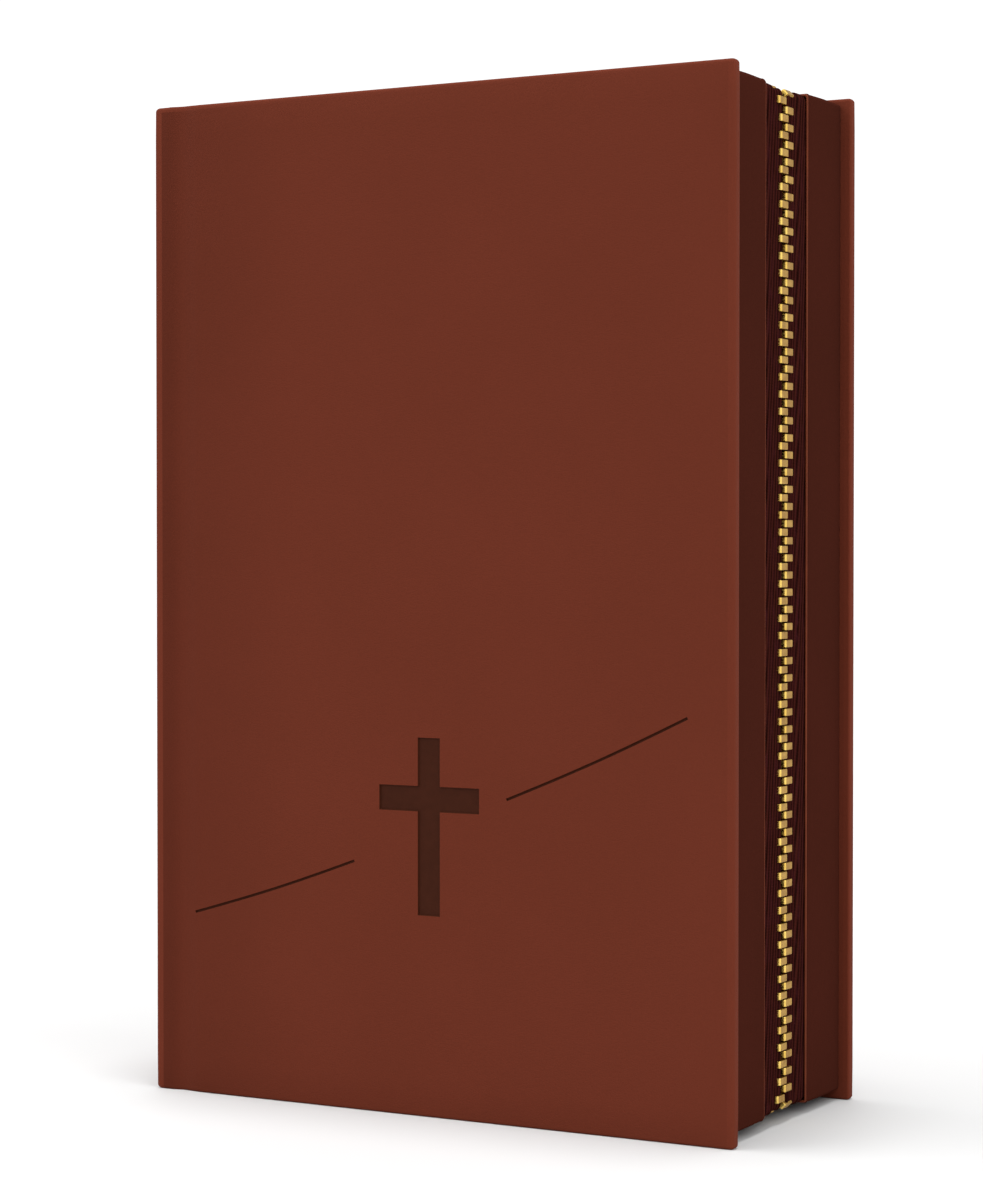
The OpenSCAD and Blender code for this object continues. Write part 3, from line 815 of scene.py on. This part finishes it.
# ----- zip teeth
def islands(obj):
    """Boxes (low, high) of a mesh's separate pieces."""
    bm = bmesh.new()
    bm.from_mesh(obj.data)
    bmesh.ops.remove_doubles(bm, verts=bm.verts, dist=1e-6)
    seen, found = set(), []
    for first in bm.verts:
        if first in seen:
            continue
        seen.add(first)
        group = [first]
        for v in group:
            fresh = [w for w in (e.other_vert(v) for e in v.link_edges) if w not in seen]
            seen.update(fresh)
            group += fresh
        found.append([Vector([pick(v.co[i] for v in group) for i in range(3)])
                      for pick in (min, max)])
    bm.free()
    return found


TOOTH_L, TOOTH_H = 1.15 * MM, 1.6 * MM
CORNER_SINK = 0.3 * MM                    # how far the teeth settle inwards at a corner


def tooth_mesh(width):
    """Vertices (w, y, u) and faces of one tooth, from its tip at y 0 to its legs at y = width."""
    h, half_l = TOOTH_H / 2, TOOTH_L / 2
    slope, drop, step, nose, round_l = 0.3 * MM, 0.18 * MM, 0.05 * MM, 0.15 * MM, 0.09 * MM
    slot_y, slot_h = 1.75 * MM, 0.27 * MM
    # profile in (y, w) round the tooth, with the slot that grips the tape
    upper = [(0, h - drop - nose), (step, h - drop), (slope, h), (width - slope, h),
             (width - step, h - drop), (width, h - drop - nose), (width, slot_h),
             (slot_y, slot_h)]
    profile = upper + [(y, -w) for y, w in reversed(upper)]
    cy = width / 2
    verts = []
    inner_l = half_l - round_l
    # k is how far the outline draws in towards the tooth's two ends
    for u, k in ((-half_l, 0.94), (-inner_l, 1.0), (inner_l, 1.0), (half_l, 0.94)):
        for y, w in profile:
            k_here = 1.0 if abs(w) <= slot_h + 1e-9 else k
            verts.append((w * k_here, cy + (y - cy) * (0.5 + 0.5 * k_here), u))
    return verts, grid_faces(4, len(profile))


def make_teeth(name, node, body, side):
    """A tooth in the place of each tooth of the node, turned with the corners."""
    verts, faces = [], []
    cx, top, bottom = WALL_X - CHAIN_R, WALL_Z1 - CHAIN_R, WALL_Z0 + CHAIN_R
    for low, high in islands(frame["nodes"][node]):
        mid = (low + high) / 2
        if mid.x > cx and (mid.z > top or mid.z < bottom):
            centre_z = top if mid.z > top else bottom
            tilt = math.atan2(mid.z - centre_z, mid.x - cx)
            if abs(tilt) < math.radians(3):
                tilt = 0.0
            r = CHAIN_R - PATH_IN - CORNER_SINK
            mid.x, mid.z = cx + r * math.cos(tilt), centre_z + r * math.sin(tilt)
        elif mid.x < cx:
            tilt = math.pi / 2 if mid.z > (top + bottom) / 2 else -math.pi / 2
            mid.z = WALL_Z1 - PATH_IN if tilt > 0 else WALL_Z0 + PATH_IN
        else:
            tilt = 0.0
            mid.x = WALL_X - PATH_IN
        tip = low.y if side > 0 else high.y
        tooth, tooth_faces = tooth_mesh(high.y - low.y)
        c, s = math.cos(tilt), math.sin(tilt)
        placed = [(mid.x + w * c - u * s, tip + side * y, mid.z + w * s + u * c)
                  for w, y, u in tooth]
        join_mesh(verts, faces, placed, tooth_faces)
    obj = add_mesh(name, verts, faces, 25)
    give(obj, TOOTH_TOP, TOOTH_HIGHLIGHT)
    # faces turned to front or back take the lighter brass: painted highlight
    for poly in obj.data.polygons:
        if abs(poly.normal.y) > 0.25:
            poly.material_index = 1
    return stand_in(obj, node, body)


# ----- text block, leaves, ribbons
SHEETS = 84
BOUND_X = leaf_low.x
BLOCK_Y0, BLOCK_Y1 = pages_low.y, pages_high.y
BLOCK_MID = (BLOCK_Y0 + BLOCK_Y1) / 2
BOW = 2 * MM
PAGE_R = 4 * MM


def bow_at(y):
    """How far the rounded back stands out towards the spine."""
    return BOW * (1 - ((y - BLOCK_MID) / ((BLOCK_Y1 - BLOCK_Y0) / 2)) ** 2)


def page_outline(x0, x1, z0, z1, r):
    """Outline of a leaf with round fore-edge corners, as (x, z)."""
    pts = [(x0, z0)]
    pts += arc_points(x1 - r, z0 + r, r, 270, 360, 6)
    pts += arc_points(x1 - r, z1 - r, r, 0, 90, 6)
    pts += [(x0, z1)]
    return pts


def make_text_block():
    """The sewn block as a stack of gatherings of leaves, each a hair different in size."""
    rng = random.Random(11)
    pitch = (BLOCK_Y1 - BLOCK_Y0) / SHEETS
    verts, faces = [], []
    for i in range(SHEETS):
        y = BLOCK_Y0 + (i + 0.5) * pitch
        half = pitch * 0.46
        b = bow_at(y)
        x0 = BOUND_X - b + (0.0 if i % 4 in (1, 2) else 0.25 * MM)
        x1 = pages_high.x - b + rng.uniform(-0.16, 0.04) * MM
        dz = rng.uniform(0, 0.1) * MM
        outline = page_outline(x0, x1, pages_low.z + dz, pages_high.z - dz, PAGE_R)
        leaf = [(x, yy, z) for yy in (y - half, y + half) for x, z in outline]
        join_mesh(verts, faces, leaf, grid_faces(2, len(outline)))
    obj = give(add_mesh("page_block", verts, faces, 30), PAPER)
    return stand_in(obj, "text_sections", "text_block")


LEAF_HALF_T, LEAF_RIPPLE = 0.09 * MM, 0.07 * MM


def make_leaf(node, mat):
    """One leaf: a thin sheet with a soft ripple towards its free edge, curving at the gutter."""
    low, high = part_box(node)
    mid_y = (low.y + high.y) / 2
    reach = PAGE_R / (high.z - low.z)
    ends = [reach * (1 - math.cos(math.radians(a))) for a in (0, 20, 38, 55, 72)]
    rows = ends + steps(reach, 1 - reach, 26) + [1 - e for e in reversed(ends)]
    wave_seed = sum(map(ord, node))
    verts = []
    for v in rows:
        z = low.z + (high.z - low.z) * v
        edge = max(0.0, low.z + PAGE_R - z, z - (high.z - PAGE_R))
        x1 = high.x - PAGE_R + math.sqrt(max(0.0, PAGE_R * PAGE_R - edge * edge))
        sheet = []
        for u in steps(0, 1, 40):
            wave = noise.noise(Vector((u * 2.2, v * 3.0, wave_seed)))
            sheet.append((low.x + (x1 - low.x) * u, mid_y + LEAF_RIPPLE * smooth01(u) * wave))
        verts += [(x, y - LEAF_HALF_T, z) for x, y in sheet]
        verts += [(x, y + LEAF_HALF_T, z) for x, y in reversed(sheet)]
    faces = plate_faces(len(rows), len(verts) // len(rows))
    obj = give(add_mesh(f"{node}_sheet", verts, faces), mat)
    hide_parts(node)
    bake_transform(obj)
    return obj


PASTE_GAP, PASTE_T = 0.02 * MM, 0.16 * MM


def make_pastedown(part):
    """Endpaper pasted to the inside of a cover."""
    side = SIDES[part]
    low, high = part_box(f"{part}_pastedown")
    n0 = INNER_N - PASTE_GAP
    outline = page_outline(low.x, high.x, low.z, high.z, PAGE_R)
    verts = [(x, side * n, z) for n in (n0, n0 - PASTE_T) for x, z in outline]
    obj = give(add_mesh(f"{part}_endpaper", verts, grid_faces(2, len(outline)), 30), END_PAPER)
    return stand_in(obj, f"{part}_pastedown", f"{part}_cover")


BEAD_R, BEAD_IN, BEAD_LIFT = 0.72 * MM, 0.55 * MM, 0.03 * MM


def make_band(node, name, outward):
    """Silk headband: a ribbed bead along the end of the bound edge."""
    low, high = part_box(node)
    z_page = pages_high.z if outward > 0 else pages_low.z
    verts = []
    rows = steps(low.y, high.y, 44)
    ring = arc_points(0, 0, BEAD_R, 0, 330, 11)
    for i, y in enumerate(rows):
        cx = BOUND_X - bow_at(y) + BEAD_IN
        swell = 1 + 0.09 * math.cos(i * math.pi)
        if i in (0, len(rows) - 1):
            swell *= 0.55
        for a, b in ring:
            verts.append((cx + a * swell, y, z_page + outward * (BEAD_R + BEAD_LIFT) + b * swell))
    obj = give(add_mesh(name, verts, grid_faces(len(rows), len(ring)), 60), BAND)
    return stand_in(obj, node, "text_block")


RIBBON_W, RIBBON_HALF_T = 5 * MM, 0.07 * MM
RIBBON_CUT = 1.3 * MM                     # slant of the cut end


def make_ribbon(node, name, mat):
    """Ribbon marker: over the head by the spine, down between the pages, its tail just out."""
    low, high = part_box(node)
    y = (low.y + high.y) / 2
    x_head = BOUND_X + 1.7 * MM
    count = 36
    verts = []
    for i in range(count + 1):
        t = i / count
        z = high.z - (high.z - low.z) * t
        x = x_head + (high.x - RIBBON_W - x_head) * t
        for face, span in ((-RIBBON_HALF_T, steps(0, 1, 4)), (RIBBON_HALF_T, steps(1, 0, 4))):
            for dx in span:
                dip = 0.03 * MM * math.cos(math.pi * (dx * 2 - 1))
                cut = RIBBON_CUT * dx if i == count else 0
                verts.append((x + dx * RIBBON_W, y + face + dip, z + cut))
    obj = give(add_mesh(name, verts, grid_faces(count + 1, 10), 40), mat)
    return stand_in(obj, node, "text_block")


# ----- patches, mull and paper tube
PATCH_ROWS = ((0.14, 0.0), (0.02, 0.18), (0.0, 0.6), (0.1, 0.84), (0.3, 0.96), (0.75, 1.0),
              (1.4, 1.05))                # mm in from the edge, share of the thickness
PATCH_R, STITCH_IN, STITCH_PITCH = 1.1 * MM, 0.75 * MM, 1.35 * MM
STITCH_L, STITCH_R = 0.9 * MM, 0.13 * MM
PATCH_LIFT = 0.32 * MM                    # how far the head patch stands off the front tape


def rounded_ring(half_x, half_y, r):
    """A rounded rectangle about the origin."""
    pts = []
    for sx, sy, a in ((1, -1, 270), (1, 1, 0), (-1, 1, 90), (-1, -1, 180)):
        pts += arc_points(sx * (half_x - r), sy * (half_y - r), r, a, a + 90, 5)
    return pts


def stitch_mesh(at, along, up):
    """One plump stitch lying along a direction."""
    across = along.cross(up)
    verts = []
    for t in (-0.5, -0.36, 0.0, 0.36, 0.5):
        r = STITCH_R * math.sqrt(1.05 - (2 * t) ** 2)
        for k in range(6):
            a = math.radians(60 * k)
            around = across * math.cos(a) + up * math.sin(a)
            verts.append(at + along * (t * STITCH_L) + around * r)
    return verts, grid_faces(5, 6)


def make_patch(node, name, body, outward, foot_z=0.0, foot_y=0.0):
    """Leather patch over the zip's end, stitched round; a foot can hold it off the tape."""
    low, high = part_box(node)
    mid = (low + high) / 2
    half_x, half_y = (high.x - low.x) / 2, (high.y - low.y) / 2
    base_z = (low.z if outward > 0 else high.z) + outward * foot_z
    rise = outward * (high.z - low.z - foot_z) / PATCH_ROWS[-1][1]
    verts = []
    for inset, share in PATCH_ROWS:
        inset *= MM
        ring = rounded_ring(half_x - inset, half_y - inset, max(0.3 * MM, PATCH_R - inset))
        verts += [Vector((mid.x + x, mid.y + y, base_z + rise * share)) for x, y in ring]
    faces = grid_faces(len(PATCH_ROWS), len(verts) // len(PATCH_ROWS))
    if foot_z:
        ring = rounded_ring(half_x - 0.4 * MM, foot_y, 0.3 * MM)
        foot = [Vector((mid.x + x, y, base_z + z)) for z in (-foot_z, 0.3 * MM) for x, y in ring]
        join_mesh(verts, faces, foot, grid_faces(2, len(ring)))
    leather_faces = len(faces)
    path = rounded_ring(half_x - STITCH_IN, half_y - STITCH_IN, 0.5 * MM)
    up = Vector((0, 0, outward))
    for a, b in zip(path, path[1:] + path[:1]):
        a, b = Vector((a[0], a[1], 0)), Vector((b[0], b[1], 0))
        count = int((b - a).length / STITCH_PITCH)
        for t in (steps(0, 1, count)[:-1] if count > 1 else []):
            at = a + (b - a) * (t + 0.5 / count)
            at = Vector((mid.x + at.x, mid.y + at.y, base_z + rise + outward * 0.02 * MM))
            join_mesh(verts, faces, *stitch_mesh(at, (b - a).normalized(), up))
    obj = give(add_mesh(name, verts, faces, 50), SHADED_LEATHER, STITCH)
    for poly in list(obj.data.polygons)[leather_faces:]:
        poly.material_index = 1
    return stand_in(obj, node, body)


MULL_T, TUBE_WALL = 0.3 * MM, 0.22 * MM


def make_mull():
    """Open cloth glued over the sewn backs, with frayed ends."""
    low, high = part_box("spine_mull")
    rng = random.Random(5)
    ys = steps(low.y, high.y, 36)
    verts = []
    levels = steps(low.z, high.z, 20)
    for i, z in enumerate(levels):
        end = i in (0, len(levels) - 1)
        fray = [rng.uniform(0, 0.5) * MM * (1 if i == 0 else -1) if end else 0.0 for y in ys]
        row = [Vector((low.x + BOW - bow_at(y), y, z + f)) for y, f in zip(ys, fray)]
        verts += row + [v + Vector((MULL_T, 0, 0)) for v in reversed(row)]
    faces = plate_faces(len(levels), 2 * len(ys))
    obj = give(add_mesh("mull_cloth", verts, faces, 60), MULL)
    return stand_in(obj, "spine_mull", "text_block")


def make_tube():
    """Flattened paper tube between the mull and the spine."""
    low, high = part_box("spine_hollow")
    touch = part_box("spine_mull")[0].x - 0.05 * MM
    ys = steps(low.y, high.y, 24)

    def loop(wall):
        """The tube's outline, drawn in by a wall."""
        path = [(low.x + wall, y) for y in ys]
        path += [(touch + BOW - bow_at(y) - wall, y) for y in reversed(ys)]
        return [(x, min(max(y, low.y + wall), high.y - wall)) for x, y in path]

    outer, inner = loop(0.0), loop(TUBE_WALL)
    levels = steps(low.z, high.z, 12)
    verts = [(x, y, z) for path in (outer, inner) for z in levels for x, y in path]
    count, shift = len(outer), len(outer) * len(levels)
    faces = grid_faces(len(levels), count, caps=False)
    faces += [tuple(shift + i for i in f) for f in faces]
    for a in (0, shift - count):
        for c in range(count):
            d = (c + 1) % count
            faces.append((a + c, a + d, a + d + shift, a + c + shift))
    obj = give(add_mesh("paper_tube", verts, faces, 40), KRAFT)
    return stand_in(obj, "spine_hollow", "text_block")


# ----- CAD nodes kept as they are
def keep_node(node, mat, bevel_mm=0.0, segments=2):
    """A CAD node that stays, with its own material and, when a bevel is given, softly rounded
    edges.
    """
    obj = frame["nodes"][node]
    if bevel_mm:
        mod = obj.modifiers.new("edges", "BEVEL")
        mod.width = bevel_mm * MM
        mod.segments = segments
        mod.limit_method = "ANGLE"
        mod.angle_limit = math.radians(40)
    give(obj, mat)
    keep_rest(obj.data)
    return obj


def make_case():
    """Everything of leather, cloth and metal."""
    for part in SIDES:
        make_leather(part)
        make_lining(part)
        make_gusset(part)
        make_welt(part)
        make_tape(part)
        make_pastedown(part)
        keep_node(f"{part}_cover_board", BOARD)
        make_patch(f"{part}_zip_end_tab", f"{part}_end_patch", f"{part}_cover", -1)
        keep_node(f"{part}_zip_top_stop", TOOTH_TOP, 0.15)
    make_end_tape()
    make_teeth("front_teeth", "front_zip_teeth", "front_cover", -1)
    make_teeth("back_teeth", "back_zip_teeth", "back_cover", 1)
    make_teeth("end_teeth", "zip_end_teeth", "back_cover", -1)
    keep_node("spine_board", BOARD)
    keep_node("zip_bottom_stop", TOOTH_TOP, 0.2)
    end_tape_y = -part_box("zip_end_tape")[0].y
    make_patch("zip_head_tab", "head_patch", "back_cover", 1, PATCH_LIFT, end_tape_y)
    keep_node("slider_body", SLIDER, 0.2)
    keep_node("slider_bail", SLIDER, 0.15)
    keep_node("pull_tab", SLIDER, 0.25, 3)


def make_pages():
    """Text block, leaves and what is fixed to them."""
    make_text_block()
    make_leaf("front_flyleaf", END_PAPER)
    make_leaf("back_flyleaf", END_PAPER)
    for i in range(1, 5):
        make_leaf(f"front_leaf_{i}", PRINTED)
    for i in range(1, 3):
        make_leaf(f"back_leaf_{i}", PRINTED)
    make_band("headband", "headband_silk", 1)
    make_band("tailband", "tailband_silk", -1)
    make_ribbon("ribbon_marker_1", "ribbon_wine", RIBBON_WINE)
    make_ribbon("ribbon_marker_2", "ribbon_gold", RIBBON_GOLD)
    keep_node("sewing_thread", THREAD)
    make_mull()
    make_tube()


# ----- camera, floor and light
CAMERA_AT = Vector((0.24386, -0.44245, 0.09459))
CAMERA_TURN, CAMERA_DOWN = 29.055, 1.087
CAMERA_LENS, SENSOR = 88.2, 36.0


def make_camera():
    """The photo's own camera."""
    data = bpy.data.cameras.new("camera")
    data.lens = CAMERA_LENS
    data.sensor_width = SENSOR
    camera = bpy.data.objects.new("camera", data)
    camera.location = CAMERA_AT
    camera.rotation_euler = (math.radians(90 - CAMERA_DOWN), 0, math.radians(CAMERA_TURN))
    bpy.context.scene.collection.objects.link(camera)
    bpy.context.scene.camera = camera


def soft_sun(name, azimuth, elevation, strength, spread):
    """A wide sun. Azimuth in degrees from the front, counted towards the fore-edge."""
    data = bpy.data.lights.new(name, "SUN")
    data.energy = strength
    data.angle = math.radians(spread)
    light = bpy.data.objects.new(name, data)
    light.rotation_euler = (math.radians(90 - elevation), 0, math.radians(azimuth))
    bpy.context.scene.collection.objects.link(light)


# the world's light falls from BAND_LIGHT to SKY_LIGHT between these heights of the direction
BAND_TOP, SKY_FROM, BAND_LIGHT, SKY_LIGHT = 0.3, 0.55, 1.1, 0.5
KEY_SIDE, KEY_UP, KEY_LIGHT, KEY_SPREAD = 65, 45, 1.3, 50
TOP_LIGHT, TOP_SPREAD = 2.6, 17
FLOOR_TONES = (0.555, 0.565)
FLOOR_REACH = 4


def make_stage():
    """Pale floor, studio world and the three soft suns."""
    r = FLOOR_REACH
    verts = [(-r, -r, 0), (r, -r, 0), (r, r, 0), (-r, r, 0)]
    floor = add_mesh("floor", verts, [(0, 1, 2, 3)])
    look = Look("floor_white", 0.7)
    look.colour(look.mix(look.noise(0.002, 2), *[(tone, tone, tone) for tone in FLOOR_TONES]))
    give(floor, look.mat)
    world = bpy.data.worlds.new("studio")
    bpy.context.scene.world = world
    world.use_nodes = True
    background = world.node_tree.nodes["Background"]
    background.inputs["Color"].default_value = (1, 1, 1, 1)
    # a white band round the horizon under a dimmer sky
    tree = world.node_tree
    direction = tree.nodes.new("ShaderNodeTexCoord")
    split = tree.nodes.new("ShaderNodeSeparateXYZ")
    sky = tree.nodes.new("ShaderNodeMapRange")
    for i, v in enumerate((BAND_TOP, SKY_FROM, BAND_LIGHT, SKY_LIGHT)):
        sky.inputs[i + 1].default_value = v
    tree.links.new(direction.outputs["Generated"], split.inputs[0])
    tree.links.new(split.outputs["Z"], sky.inputs[0])
    tree.links.new(sky.outputs[0], background.inputs["Strength"])
    soft_sun("key_left", -KEY_SIDE, KEY_UP, KEY_LIGHT, KEY_SPREAD)
    soft_sun("key_right", KEY_SIDE, KEY_UP, KEY_LIGHT, KEY_SPREAD)
    soft_sun("top", 0, 90, TOP_LIGHT, TOP_SPREAD)
    bpy.context.scene.view_settings.view_transform = "Standard"


make_camera()
make_stage()
make_case()
make_pages()
